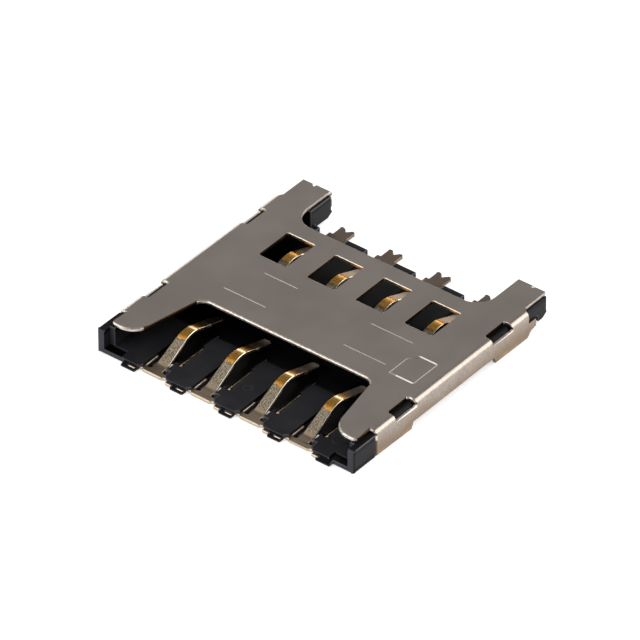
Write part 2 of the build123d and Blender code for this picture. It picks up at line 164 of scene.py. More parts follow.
# Colours of the terminals; the two painted crown highlights are for the front and the rear row
PLATE_TONES = ((0.26, 0.195, 0.135), (0.34, 0.26, 0.185))
RAMP_TONES = ((0.10, 0.08, 0.055), (0.42, 0.35, 0.26))
SHADED_RAMP = (0.03, 0.022, 0.014)
TAIL_TONES = ((0.13, 0.095, 0.07), (0.21, 0.158, 0.118))
BARE_RAIL = (0.72, 0.61, 0.44)
GOLD_TONES = ((0.30, 0.125, 0.016), (0.70, 0.375, 0.08))
# Dull tip past the gold, darkening into painted shade under the cover
TIP_TONES_INTO_SHADE = ((0.19, 0.11, 0.045), (0.06, 0.035, 0.018))
# Painted highlight just past the crown, for the front row and the rear row
CROWN_HIGHLIGHT_GOLD = ((1.0, 0.82, 0.48), (1.0, 0.62, 0.2))
BLANKED_EDGE = (0.93, 0.82, 0.66)

# Heights between which the terminals' finishes change, in millimetres
GOLD_HEIGHTS = (0.35, 0.45)
RAMP_HEIGHTS = (0.16, 0.3)
RAIL_HEIGHTS = (0.155, 0.17)

# The same along the way in, in millimetres behind a row's crowns; the row is told from the part's middle
GOLD_START = (-0.62, -0.52)
GOLD_END = (0.8, 1.0)
GOLD_WAVER = (-0.03, 0.03)
RAMP_END = (-0.3, 0.0)
POCKET_START = (-1.54, -1.48)
POCKET_END = (0.6, 0.7)
TAIL_START = (1.1, 1.2)
# Span behind the crown over which the tip darkens into painted shade
TIP_SHADE_SPAN = (0.35, 1.3)
REAR_ROW = (0.0, 0.1)

# Shade, roughness and relief of the terminals
REAR_RAMP_SHADE = 0.55
TERMINAL_ROUGHNESS = (0.34, 0.24)
TERMINAL_RELIEF = (0.4, 0.006 * MM)
FOOT_BRIGHTNESS = 0.35

# Ejector marks: x, y and z of the centre in millimetres, and share of the full radius
EJECTOR_MARKS = ((5.06, -5.46, 0.27, 1.0), (0.0, -5.05, 0.27, 0.7))
MARK_RADIUS = 0.27 * MM
MARK_SIDES = 40
MARK_RIM = 0.024 * MM
MARK_RIM_SIDES = 8
# Share of the painted edge highlight on the marks' rims
MARK_HIGHLIGHT = 0.3

# Backdrop, ceiling and floor, with sizes in metres
BACKDROP_TOP = (0.18, 0.58)
CEILING_GREY = 0.355
ROOM_LIGHT = 0.5
FLOOR_REACH = 3.0
FLOOR_DROP = 0.02 * MM
FLOOR_GREY = 0.82
FLOOR_ROUGHNESS = 0.9
FLOOR_GLOW = 0.55

# Lamps: direction from the part, width and height in metres, brightness and colour
LAMP_DISTANCE = 0.6
LAMPS = {
    "fold_softbox": ((0.57, 0.72, 0.41), (0.6, 0.48), 2.6, (1.0, 0.975, 0.95)),
    "back_softbox": ((-0.557, 0.795, 0.242), (0.5, 0.12), 2.6, (1.0, 0.975, 0.95)),
    "front_softbox": ((-0.573, -0.683, 0.454), (0.5, 0.3), 3.4, (0.96, 0.98, 1.0)),
    "left_softbox": ((-0.5, -0.15, 0.86), (0.3, 0.3), 1.0, (1.0, 0.98, 0.96)),
    "right_softbox": ((0.81, 0.01, 0.575), (0.25, 0.25), 2.4, (1.0, 0.98, 0.96)),
}

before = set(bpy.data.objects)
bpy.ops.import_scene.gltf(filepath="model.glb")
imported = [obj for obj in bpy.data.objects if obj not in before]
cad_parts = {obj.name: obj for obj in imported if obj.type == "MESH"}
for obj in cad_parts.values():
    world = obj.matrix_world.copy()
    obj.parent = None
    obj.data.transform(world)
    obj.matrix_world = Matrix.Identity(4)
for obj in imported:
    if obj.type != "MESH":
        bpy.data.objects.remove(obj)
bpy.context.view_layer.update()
cover_corner = Vector(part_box("shell")[1])
body_front = Vector(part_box("housing")[0]).y


# Shader helpers


def new_material(name):
    """A fresh node material; returns it with its tree and Principled node."""
    material = bpy.data.materials.new(name)
    material.use_nodes = True
    tree = material.node_tree
    return material, tree, tree.nodes["Principled BSDF"]


def node(tree, kind, **settings):
    """A node with its properties and inputs set; socket names are written with spaces as underscores."""
    made = tree.nodes.new(kind)
    for key, value in settings.items():
        if hasattr(made, key):
            setattr(made, key, value)
        else:
            made.inputs[key.replace("_", " ")].default_value = value
    return made


def feed(tree, value, socket):
    """Links a socket to another, or sets it to a plain value."""
    if isinstance(value, bpy.types.NodeSocket):
        tree.links.new(value, socket)
    else:
        socket.default_value = value


def math_node(tree, operation, first, second=0.0, clamp=False):
    """A Math node on two values or sockets; returns its output."""
    made = node(tree, "ShaderNodeMath", operation=operation, use_clamp=clamp)
    feed(tree, first, made.inputs[0])
    feed(tree, second, made.inputs[1])
    return made.outputs[0]


def product(tree, first, *others):
    """All the masks multiplied together."""
    for other in others:
        first = math_node(tree, "MULTIPLY", first, other)
    return first


def remap(tree, value, span, results):
    """A value's place in a span turned softly into a place between two results, held at the ends."""
    made = node(tree, "ShaderNodeMapRange", interpolation_type="SMOOTHSTEP")
    tree.links.new(value, made.inputs["Value"])
    for name, number in zip(("From Min", "From Max", "To Min", "To Max"), (*span, *results)):
        made.inputs[name].default_value = number
    return made.outputs["Result"]


def rises(tree, value, span):
    """0 below the span and 1 above it."""
    return remap(tree, value, span, (0.0, 1.0))


def falls(tree, value, span):
    """1 below the span and 0 above it."""
    return remap(tree, value, span, (1.0, 0.0))


def blend_colours(tree, mask, first, second):
    """First colour where the mask is 0 and second where it is 1."""
    made = node(tree, "ShaderNodeMix", data_type="RGBA")
    feed(tree, mask, made.inputs["Factor"])
    for name, colour in (("A", first), ("B", second)):
        socket = next(other for other in made.inputs if other.name == name and other.type == "RGBA")
        feed(tree, colour if isinstance(colour, bpy.types.NodeSocket) else (*colour, 1.0), socket)
    return next(socket for socket in made.outputs if socket.type == "RGBA")


def attribute(tree, name):
    """A float stored on the piece's own mesh."""
    return node(tree, "ShaderNodeAttribute", attribute_name=name).outputs["Fac"]


def add_relief(tree, shader, height, strength, depth):
    """Roughens a shader's surface by a height."""
    bump = node(tree, "ShaderNodeBump", Strength=strength, Distance=depth)
    tree.links.new(height, bump.inputs["Height"])
    tree.links.new(bump.outputs["Normal"], shader.inputs["Normal"])


def new_group(name, inputs, outputs):
    """A shader group with named inputs and number outputs; returns it with its two end nodes."""
    group = bpy.data.node_groups.new(name, "ShaderNodeTree")
    for label, kind, default in inputs:
        socket = group.interface.new_socket(name=label, in_out="INPUT", socket_type=kind)
        socket.default_value = default
    for label in outputs:
        group.interface.new_socket(name=label, in_out="OUTPUT", socket_type="NodeSocketFloat")
    return group, group.nodes.new("NodeGroupInput"), group.nodes.new("NodeGroupOutput")


def use_group(tree, group, **inputs):
    """Places a group in a material with its own values."""
    made = node(tree, "ShaderNodeGroup", node_tree=group)
    for name, value in inputs.items():
        made.inputs[name.replace("_", " ")].default_value = value
    return made


def object_millimetres(tree):
    """Object coordinates in millimetres."""
    place = tree.nodes.new("ShaderNodeTexCoord")
    scaled = node(tree, "ShaderNodeVectorMath", operation="SCALE", Scale=1.0 / MM)
    tree.links.new(place.outputs["Object"], scaled.inputs[0])
    return scaled.outputs[0]


def uneven_surface_group():
    """Noise of a coarse and a fine size, and a slow drift of tone; the fine one can be stretched."""
    group, start, end = new_group(
        "uneven_surface",
        [
            ("Coarse Scale", "NodeSocketFloat", 2.0),
            ("Fine Scale", "NodeSocketFloat", 30.0),
            ("Stretch", "NodeSocketVector", (1, 1, 1)),
        ],
        ["Coarse", "Fine", "Colour Shift"],
    )
    place = object_millimetres(group)
    stretched = node(group, "ShaderNodeVectorMath", operation="MULTIPLY")
    group.links.new(place, stretched.inputs[0])
    group.links.new(start.outputs["Stretch"], stretched.inputs[1])
    drift_scale = math_node(group, "MULTIPLY", start.outputs["Coarse Scale"], DRIFT_SHARE)
    for output, vector, scale, detail, roughness in (
        ("Coarse", place, start.outputs["Coarse Scale"], 3.0, 0.55),
        ("Fine", stretched.outputs[0], start.outputs["Fine Scale"], 4.0, 0.6),
        ("Colour Shift", place, drift_scale, 2.0, 0.5),
    ):
        noise = node(group, "ShaderNodeTexNoise", Detail=detail, Roughness=roughness)
        group.links.new(vector, noise.inputs["Vector"])
        group.links.new(scale, noise.inputs["Scale"])
        group.links.new(noise.outputs["Fac"], end.inputs[output])
    return group


def place_on_part_group():
    """Place in millimetres: up from the board, behind a row's crowns, along the way in, off the middle."""
    group, start, end = new_group(
        "place_on_part",
        [("Front Crown", "NodeSocketFloat", FRONT_CROWN), ("Rear Crown", "NodeSocketFloat", REAR_CROWN)],
        ["Height", "Behind Crown", "Way In", "Off Middle"],
    )
    split = group.nodes.new("ShaderNodeSeparateXYZ")
    group.links.new(object_millimetres(group), split.inputs[0])
    across, way_in, height = (split.outputs[axis] for axis in "XYZ")
    front, rear = start.outputs["Front Crown"], start.outputs["Rear Crown"]
    middle = math_node(group, "MULTIPLY", math_node(group, "ADD", front, rear), 0.5)
    behind = group.nodes.new("ShaderNodeMix")
    group.links.new(math_node(group, "GREATER_THAN", way_in, middle), behind.inputs["Factor"])
    group.links.new(math_node(group, "SUBTRACT", way_in, front), behind.inputs["A"])
    group.links.new(math_node(group, "SUBTRACT", way_in, rear), behind.inputs["B"])
    for name, value in (
        ("Height", height),
        ("Behind Crown", behind.outputs["Result"]),
        ("Way In", way_in),
        ("Off Middle", math_node(group, "ABSOLUTE", across)),
    ):
        group.links.new(value, end.inputs[name])
    return group


# Cover finish


def rolled_colour(tree, surface, where, bent):
    """Colour of the rolled sheet: plain on top, speckled over the bend, and stained down the walls with
    painted shade that darkens them toward the board.
    """
    sheet = blend_colours(tree, surface.outputs["Colour Shift"], *SHEET_TONES)
    waver = remap(tree, surface.outputs["Coarse"], SOFT_NOISE, STAIN_AND_SHADE_WAVER)
    uneven_height = math_node(tree, "ADD", where.outputs["Height"], waver)
    # Stain and painted shade darken the walls toward the board
    sheet = blend_colours(tree, remap(tree, uneven_height, STAIN_AND_SHADE_HEIGHTS, STAIN_AND_SHADE_STRENGTH), sheet, STAIN_AND_SHADE)
    speckle = product(tree, bent, remap(tree, surface.outputs["Fine"], SPECKLE_NOISE, SPECKLE_STRENGTH))
    sheet = blend_colours(tree, speckle, sheet, BEND_SPECKLE)
    return blend_colours(tree, remap(tree, uneven_height, FLOW_HEIGHTS, FLOW_STRENGTH), sheet, FLOW_LINE)


def sheared_colour(tree, surface, where):
    """Colour of the cut faces, each brighter toward its upper side, where the punch went in."""
    height, way_in = where.outputs["Height"], where.outputs["Way In"]
    shiny = rises(tree, surface.outputs["Fine"], SPECKLE_NOISE)
    burnished = blend_colours(tree, shiny, *BURNISHED)
    handled = blend_colours(tree, shiny, *HANDLED)
    torn = blend_colours(tree, surface.outputs["Fine"], *TORN)
    window_face = blend_colours(tree, rises(tree, height, WINDOW_SHEAR_HEIGHTS), torn, burnished)
    entry_face = blend_colours(tree, rises(tree, height, ENTRY_SHEAR_HEIGHTS), ENTRY_CUT, handled)
    wall_face = blend_colours(tree, rises(tree, height, WALL_SHEAR_HEIGHTS), WALL_CUT, burnished)
    among_windows = product(
        tree,
        rises(tree, way_in, (ENTRY_BACK, ENTRY_BACK + ZONE_BLEND)),
        falls(tree, way_in, (ARM_START - ZONE_BLEND, ARM_START)),
        falls(tree, where.outputs["Off Middle"], INSIDE_FOLDS),
    )
    top_face = blend_colours(tree, among_windows, entry_face, window_face)
    return blend_colours(tree, rises(tree, height, TOP_CUT_HEIGHTS), wall_face, top_face)


def cover_metal(uneven, place):
    """Rolled, plated sheet with sheared edges and a stain above the solder tabs, with painted shade toward
    the board, on side-facing top cut faces and in the guide lines.
    """
    material, tree, shader = new_material("cover_metal")
    shader.inputs["Metallic"].default_value = 1.0
    surface = use_group(tree, uneven, Coarse_Scale=0.5, Fine_Scale=13.0, Stretch=(0.5, 1.0, 0.5))
    where = use_group(tree, place)
    edge = attribute(tree, "cut_edge")
    bent = falls(tree, where.outputs["Height"], BEND_HEIGHTS)

    rolled = rolled_colour(tree, surface, where, bent)
    colour = blend_colours(tree, edge, rolled, sheared_colour(tree, surface, where))
    # The guide grooves' walls get painted shade
    colour = blend_colours(tree, attribute(tree, "fine_groove"), colour, SHADED_GUIDE_LINE)
    # Top cut faces that look to the sides get painted shade
    colour = blend_colours(tree, attribute(tree, "shaded_cut"), colour, SHADED_CUT)
    tree.links.new(colour, shader.inputs["Base Color"])

    plain_rough = remap(tree, surface.outputs["Coarse"], SOFT_NOISE, SHEET_ROUGHNESS)
    strained = math_node(tree, "MAXIMUM", edge, bent)
    more_rough = math_node(tree, "MULTIPLY", strained, STRAINED_ROUGHNESS)
    tree.links.new(math_node(tree, "ADD", plain_rough, more_rough), shader.inputs["Roughness"])
    grain = product(tree, surface.outputs["Fine"], remap(tree, bent, (0.0, 1.0), SHEET_GRAIN))
    add_relief(tree, shader, grain, *SHEET_RELIEF)
    return material


# Body finish


def body_plastic(uneven, place):
    """Black high-temperature moulding with a fine matte skin: its own black on open ribs, painted shade in
    pockets, under the cover and on the keys, and painted light on open edges and on faces toward the card
    entry.
    """
    material, tree, shader = new_material("body_plastic")
    shader.inputs["Specular IOR Level"].default_value = BODY_SHEEN
    surface = use_group(tree, uneven, Coarse_Scale=1.1, Fine_Scale=22.0)
    where = use_group(tree, place)
    height, way_in = where.outputs["Height"], where.outputs["Way In"]
    uncovered = math_node(tree, "MAXIMUM", falls(tree, way_in, OPEN_FRONT), rises(tree, way_in, OPEN_REAR))
    above_pockets = rises(tree, height, RIB_HEIGHTS)
    # Open ribs keep their own black; pockets, keys and the body under the cover get painted shade
    unshaded = product(tree, above_pockets, remap(tree, height, KEY_HEIGHTS, KEY_UNSHADED), uncovered)

    open_black = blend_colours(tree, surface.outputs["Coarse"], *OPEN_RIB_BLACK)
    colour = blend_colours(tree, unshaded, SHADED_BLACK, open_black)
    # Rounded edges out from under the cover get a painted highlight
    painted_highlight = product(tree, attribute(tree, "rounded_edge"), uncovered)
    colour = blend_colours(tree, painted_highlight, colour, EDGE_HIGHLIGHT_GREY)
    # Faces toward the card entry get painted light
    colour = blend_colours(tree, attribute(tree, "entry_face"), colour, FRONT_LIT_GREY)
    tree.links.new(colour, shader.inputs["Base Color"])

    rough = remap(tree, surface.outputs["Coarse"], SOFT_NOISE, BODY_ROUGHNESS)
    tree.links.new(rough, shader.inputs["Roughness"])
    add_relief(tree, shader, surface.outputs["Fine"], *BODY_RELIEF)
    return material


# Terminal finish


def ungilded_colour(tree, surface, where, on_ramp, in_rear_row, at_tail):
    """Colour of a terminal off its gold: plate, scratched ramp, dull tail, bare rails in the pocket."""
    from_crown = where.outputs["Behind Crown"]
    plate = blend_colours(tree, surface.outputs["Coarse"], *PLATE_TONES)
    ramp = blend_colours(tree, rises(tree, surface.outputs["Fine"], SCRATCH_NOISE), *RAMP_TONES)
    ramp = blend_colours(tree, math_node(tree, "MULTIPLY", in_rear_row, REAR_RAMP_SHADE), ramp, SHADED_RAMP)
    colour = blend_colours(tree, on_ramp, plate, ramp)
    colour = blend_colours(tree, at_tail, colour, blend_colours(tree, surface.outputs["Coarse"], *TAIL_TONES))
    bare_rail = product(
        tree,
        falls(tree, where.outputs["Height"], RAIL_HEIGHTS),
        rises(tree, from_crown, POCKET_START),
        falls(tree, from_crown, POCKET_END),
    )
    return blend_colours(tree, bare_rail, colour, BARE_RAIL)


def terminal_metal(uneven, place):
    """Plated terminal: dull and scratched up the ramp and at the tail, gold around the crown, with a painted
    highlight just past the crown and a tip that darkens into painted shade.
    """
    material, tree, shader = new_material("terminal_metal")
    shader.inputs["Metallic"].default_value = 1.0
    surface = use_group(tree, uneven, Coarse_Scale=1.6, Fine_Scale=22.0, Stretch=(1.4, 0.6, 0.6))
    where = use_group(tree, place)
    height = where.outputs["Height"]
    ragged = remap(tree, surface.outputs["Fine"], SOFT_NOISE, GOLD_WAVER)
    behind = math_node(tree, "ADD", where.outputs["Behind Crown"], ragged)
    gilded = product(
        tree,
        rises(tree, behind, GOLD_START),
        falls(tree, behind, GOLD_END),
        rises(tree, height, GOLD_HEIGHTS),
    )
    on_ramp = product(tree, rises(tree, height, RAMP_HEIGHTS), falls(tree, behind, RAMP_END))
    at_tail = rises(tree, behind, TAIL_START)
    in_rear_row = rises(tree, where.outputs["Way In"], REAR_ROW)

    plain = ungilded_colour(tree, surface, where, on_ramp, in_rear_row, at_tail)
    gold = blend_colours(tree, rises(tree, surface.outputs["Fine"], MOTTLE_NOISE), *GOLD_TONES)
    colour = blend_colours(tree, gilded, plain, gold)
    # The dull tip darkens with distance into painted shade under the cover
    tip = blend_colours(tree, rises(tree, behind, TIP_SHADE_SPAN), *TIP_TONES_INTO_SHADE)
    colour = blend_colours(tree, attribute(tree, "falling_face"), colour, tip)
    # The line just past the crown gets a painted highlight
    painted_highlight = blend_colours(tree, in_rear_row, *CROWN_HIGHLIGHT_GOLD)
    colour = blend_colours(tree, attribute(tree, "crown_highlight_face"), colour, painted_highlight)
    bright_edge = math_node(tree, "SUBTRACT", attribute(tree, "cut_edge"), at_tail, clamp=True)
    colour = blend_colours(tree, bright_edge, colour, BLANKED_EDGE)
    tree.links.new(colour, shader.inputs["Base Color"])

    rough = remap(tree, gilded, (0.0, 1.0), TERMINAL_ROUGHNESS)
    tree.links.new(rough, shader.inputs["Roughness"])
    scratched = math_node(tree, "SUBTRACT", on_ramp, gilded, clamp=True)
    add_relief(tree, shader, product(tree, surface.outputs["Fine"], scratched), *TERMINAL_RELIEF)
    return material


# Meshes


def is_sharp(edge):
    """True where two faces meet at a clear angle."""
    return len(edge.link_faces) == 2 and edge.calc_face_angle(0) > SMOOTH_ANGLE


def is_pressed(edge):
    """True at the edges of a groove pressed into a level face."""
    return all(face.normal.z > LEANING for face in edge.link_faces)


def faded(value, low, high):
    """0 below the low value, 1 above the high one, with a soft step between."""
    share = min(max((value - low) / (high - low), 0.0), 1.0)
    return share * share * (3 - 2 * share)


def width_beside(edge):
    """Width of the narrower face beside an edge, taken across the edge."""
    shares = [face.calc_area() * (2 if len(face.verts) == 3 else 1) for face in edge.link_faces]
    return min(shares) / edge.calc_length()


def working_mesh(source, marks):
    """A welded copy of a CAD node, level faces in even triangles, with every mark's number on each face."""
    working = bmesh.new()
    working.from_mesh(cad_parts[source].data)
    bmesh.ops.remove_doubles(working, verts=working.verts, dist=WELD)
    bmesh.ops.dissolve_limit(
        working,
        angle_limit=FLAT_ANGLE,
        verts=working.verts,
        edges=working.edges,
        use_dissolve_boundaries=False,
    )
    wide = [face for face in working.faces if len(face.verts) > 4]
    filled = bmesh.ops.triangulate(working, faces=wide, quad_method="BEAUTY", ngon_method="BEAUTY")["faces"]
    beside = dict.fromkeys(edge for face in filled for edge in face.edges)
    inner = [edge for edge in beside if edge.calc_face_angle(math.pi) < FLAT_ANGLE]
    bmesh.ops.beautify_fill(working, faces=filled, edges=inner, method="ANGLE")
    layers = {mark: working.faces.layers.float.new(mark) for mark in marks}
    working.normal_update()
    for face in working.faces:
        for mark, rule in marks.items():
            face[layers[mark]] = rule(face.calc_center_median(), face.normal)
    return working


def rounded_mesh(working, name, size, steps):
    """The working mesh with its outer edges rounded by one size; rounded faces carry material number 1."""
    weight = working.edges.layers.float.new("bevel_weight_edge")
    for edge in working.edges:
        outer = is_sharp(edge) and edge.is_convex and not is_pressed(edge)
        edge[weight] = 1.0 if outer and width_beside(edge) > ROOM_TO_ROUND * size else 0.0
    plain = bpy.data.meshes.new(name)
    working.to_mesh(plain)
    working.free()
    for _ in range(2):
        plain.materials.append(None)
    holder = bpy.data.objects.new(name, plain)
    bpy.context.collection.objects.link(holder)
    bevel = holder.modifiers.new("rounded_edges", "BEVEL")
    bevel.limit_method = "WEIGHT"
    bevel.width = size
    bevel.segments = steps
    bevel.use_clamp_overlap = False
    bevel.loop_slide = False
    bevel.material = 1
    evaluated = holder.evaluated_get(bpy.context.evaluated_depsgraph_get())
    mesh = bpy.data.meshes.new_from_object(evaluated)
    bpy.data.objects.remove(holder)
    bpy.data.meshes.remove(plain)
    mesh.name = name
    return mesh


def hold_in_box(mesh, low, high):
    """Moves the few corners that the rounding pushed out back to the faces of the piece's own box."""
    for vertex in mesh.vertices:
        vertex.co = [min(max(value, least), most) for value, least, most in zip(vertex.co, low, high)]


def smooth_normals(mesh, true_normal):
    """Normals averaged by area over each smooth run of own faces, with rounded edges blending between them.

    Where a rule for the true normal of a surface is given, it corrects the average.
    """
    own_limit = math.cos(SMOOTH_ANGLE)
    touching = [[] for _ in mesh.vertices]
    for face in mesh.polygons:
        for vertex in face.vertices:
            touching[vertex].append((face.area, face.normal.copy(), face.material_index))
    normals = []
    for face in mesh.polygons:
        for vertex in face.vertices:
            own = [other for other in touching[vertex] if other[2] == 0]
            around = own or touching[vertex]
            if own:
                lead = face.normal if face.material_index == 0 else max(own, key=lambda other: other[0])[1]
                around = [other for other in own if other[1].dot(lead) > own_limit]
            mean = sum((area * normal for area, normal, _ in around), Vector()).normalized()
            if own and true_normal:
                mean = true_normal(mesh.vertices[vertex].co, mean)
            normals.append(mean)
    rounded = mesh.attributes.new("rounded_edge", "FLOAT", "FACE")
    rounded.data.foreach_set("value", [float(face.material_index) for face in mesh.polygons])
    for face in mesh.polygons:
        face.use_smooth = True
        face.material_index = 0
    mesh.normals_split_custom_set(normals)


def dress(source, material, marks, size, steps, rim=None, true_normal=None):
    """Replaces one CAD node by a copy with rounded edges, even normals and its material."""
    name = f"{source}_finished"
    working = working_mesh(source, marks)
    if rim:
        rim(working)
    mesh = rounded_mesh(working, name, size, steps)
    hold_in_box(mesh, *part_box(source))
    smooth_normals(mesh, true_normal)
    mesh.materials.clear()
    mesh.materials.append(material)
    piece = bpy.data.objects.new(name, mesh)
    bpy.context.collection.objects.link(piece)
    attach(piece, "root")
    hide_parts(source)


# Cover


def outer_skin(working):
    """Faces of the cover's outer rolled surface, walked from its largest level face."""
    level = [face for face in working.faces if face.normal.z > LEVEL]
    start = max(level, key=lambda face: face.calc_area())
    skin, waiting = {start: True}, [start]
    while waiting:
        for edge in waiting.pop().edges:
            if is_sharp(edge):
                continue
            fresh = [face for face in edge.link_faces if face not in skin]
            skin.update(dict.fromkeys(fresh, True))
            waiting.extend(fresh)
    return skin


def rim_edges(working, skin):
    """Edges between the skin and a cut face: their two ends in the skin's turning order, and the cut face."""
    cut = working.faces.layers.float["cut_edge"]
    rims = []
    for face in skin:
        for loop in face.loops:
            side = next((other for other in loop.edge.link_faces if other not in skin), None)
            if side is not None and side[cut]:
                rims.append((loop.vert, loop.edge.other_vert(loop.vert), side))
    return rims


def roll_size(vertex, sides):
    """Radius of the rolled rim at a vertex, largest where its cut faces look toward the card entry."""
    forward = -sum(side.normal.y for side in sides) / len(sides)
    full = ENTRY_ROLL if vertex.co.y < ENTRY_BACK * MM else WINDOW_ROLL
    return SMALL_ROLL + (full - SMALL_ROLL) * faded(forward, *ROLL_LEAN)


def rolled_ring(working, vertex, sides, skin):
    """Rolled rim at a vertex: the place that the vertex drops to, and the vertices from it up to the skin."""
    around = [face for face in vertex.link_faces if face in skin]
    across = sum((face.normal * face.calc_area() for face in around), Vector()).normalized()
    inward = [-(side.normal - across * side.normal.dot(across)).normalized() for side in sides]
    mitre = (inward[0] + inward[-1]) / (1 + inward[0].dot(inward[-1]))
    size = roll_size(vertex, sides)
    ring = [vertex]
    for step in range(1, ROLL_STEPS + 1):
        turn = math.pi / 2 * step / ROLL_STEPS
        place = vertex.co + mitre * size * (1 - math.cos(turn)) - across * size * (1 - math.sin(turn))
        ring.append(working.verts.new(place))
    return vertex.co - across * size, ring


def close_top(working):
    """Fills the cover's level top inside its rolled rims."""
    top = cover_corner.z - WELD
    open_edges = [edge for edge in working.edges if len(edge.link_faces) == 1]
    border = [edge for edge in open_edges if all(vertex.co.z > top for vertex in edge.verts)]
    filled = bmesh.ops.triangle_fill(
        working, use_beauty=True, use_dissolve=False, edges=border, normal=(0, 0, 1)
    )
    working.normal_update()
    faces = [item for item in filled["geom"] if isinstance(item, bmesh.types.BMFace)]
    bmesh.ops.reverse_faces(working, faces=[face for face in faces if face.normal.z < 0])
    working.normal_update()


def roll_over(working):
    """Rounds the rim of the cover's outer skin as the punch left it, most where it faces the card entry."""
    skin = outer_skin(working)
    rims = rim_edges(working, skin)
    beside = {}
    for first, second, side in rims:
        beside.setdefault(first, []).append(side)
        beside.setdefault(second, []).append(side)
    dropped, rings = {}, {}
    for vertex, sides in beside.items():
        dropped[vertex], rings[vertex] = rolled_ring(working, vertex, sides, skin)

    for face in skin:
        if face.normal.z <= DEAD_LEVEL:
            corners = [rings[vertex][-1] if vertex in rings else vertex for vertex in face.verts]
            working.faces.new(corners, face)
    for first, second, side in rims:
        ring, other = rings[first], rings[second]
        for step in range(ROLL_STEPS):
            rolled = working.faces.new((ring[step], other[step], other[step + 1], ring[step + 1]), side)
            rolled.material_index = 1
    bmesh.ops.delete(working, geom=list(skin), context="FACES")
    for vertex, place in dropped.items():
        vertex.co = place
    close_top(working)


def across_sheet(point):
    """Direction across the cover's sheet at a point of its top, fold or side walls."""
    away = Vector((max(abs(point.x) - (cover_corner.x - FOLD), 0), 0, point.z - (cover_corner.z - FOLD)))
    if away.x == 0:
        return Vector((0, 0, 1))
    if away.z < 0:
        return Vector((math.copysign(1, point.x), 0, 0))
    return Vector((math.copysign(away.x, point.x), 0, away.z)).normalized()


def cover_normal(point, mean):
    """The sheet's own normal where the mean comes near it, else the mean."""
    across = across_sheet(point)
    along = across.dot(mean)
    return across * math.copysign(1, along) if abs(along) >= FACING else mean


def sheared_cover_face(centre, normal):
    """1 on the cut edges of the cover's sheet, 0 on its rolled faces."""
    on_flap = centre.y > cover_corner.y - FLAP_BEND and centre.z < cover_corner.z - SHEET
    across = Vector((0, 1, 0)) if on_flap else across_sheet(centre)
    return 1.0 if abs(normal.dot(across)) < LEANING else 0.0


def fine_groove_face(centre, normal):
    """1 on the sloping walls of the thin guide lines, which get painted shade to dim them."""
    low, high = GROOVE_WALL
    return 1.0 if low < normal.z < high and centre.z > cover_corner.z - GUIDE_DEPTH else 0.0


def shaded_cut_face(centre, normal):
    """1 on the cut faces of the cover's top that look to the sides, which get painted shade."""
    on_top = centre.z > cover_corner.z - SHEET and centre.y < ARM_START * MM
    return 1.0 if on_top and abs(normal.x) > FACING else 0.0


# Body


def front_lit_body_face(centre, normal):
    """1 on the faces of the body that look out of the card entry, which get a painted lighter grey as if lit
    from the front.
    """
    return 1.0 if normal.y < -TURNED and centre.y < body_front + ENTRY_DEPTH else 0.0


def ejector_mark_tree():
    """Half-sunk round rims, one at each input point, as the ejector pins of the mould leave them."""
    group = bpy.data.node_groups.new("ejector_marks", "GeometryNodeTree")
    group.is_modifier = True
    for name, kind, default in (
        ("Points", "NodeSocketGeometry", None),
        ("Mark Radius", "NodeSocketFloat", MARK_RADIUS),
        ("Rim Radius", "NodeSocketFloat", MARK_RIM),
        ("Sides", "NodeSocketInt", MARK_SIDES),
        ("Rim Sides", "NodeSocketInt", MARK_RIM_SIDES),
        ("Material", "NodeSocketMaterial", None),
    ):
        socket = group.interface.new_socket(name=name, in_out="INPUT", socket_type=kind)
        if default is not None:
            socket.default_value = default
    group.interface.new_socket(name="Marks", in_out="OUTPUT", socket_type="NodeSocketGeometry")
    start = group.nodes.new("NodeGroupInput")
    end = group.nodes.new("NodeGroupOutput")
    circle = group.nodes.new("GeometryNodeCurvePrimitiveCircle")
    section = group.nodes.new("GeometryNodeCurvePrimitiveCircle")
    rim = group.nodes.new("GeometryNodeCurveToMesh")
    share = node(group, "GeometryNodeInputNamedAttribute", Name="share_of_radius")
    placed = group.nodes.new("GeometryNodeInstanceOnPoints")
    realized = group.nodes.new("GeometryNodeRealizeInstances")
    painted = group.nodes.new("GeometryNodeSetMaterial")
    for output, target in (
        (start.outputs["Sides"], circle.inputs["Resolution"]),
        (start.outputs["Mark Radius"], circle.inputs["Radius"]),
        (start.outputs["Rim Sides"], section.inputs["Resolution"]),
        (start.outputs["Rim Radius"], section.inputs["Radius"]),
        (circle.outputs["Curve"], rim.inputs["Curve"]),
        (section.outputs["Curve"], rim.inputs["Profile Curve"]),
        (start.outputs["Points"], placed.inputs["Points"]),
        (rim.outputs["Mesh"], placed.inputs["Instance"]),
        (share.outputs["Attribute"], placed.inputs["Scale"]),
        (placed.outputs["Instances"], realized.inputs["Geometry"]),
        (realized.outputs["Geometry"], painted.inputs["Geometry"]),
        (start.outputs["Material"], painted.inputs["Material"]),
        (painted.outputs["Geometry"], end.inputs["Marks"]),
    ):
        group.links.new(output, target)
    return group


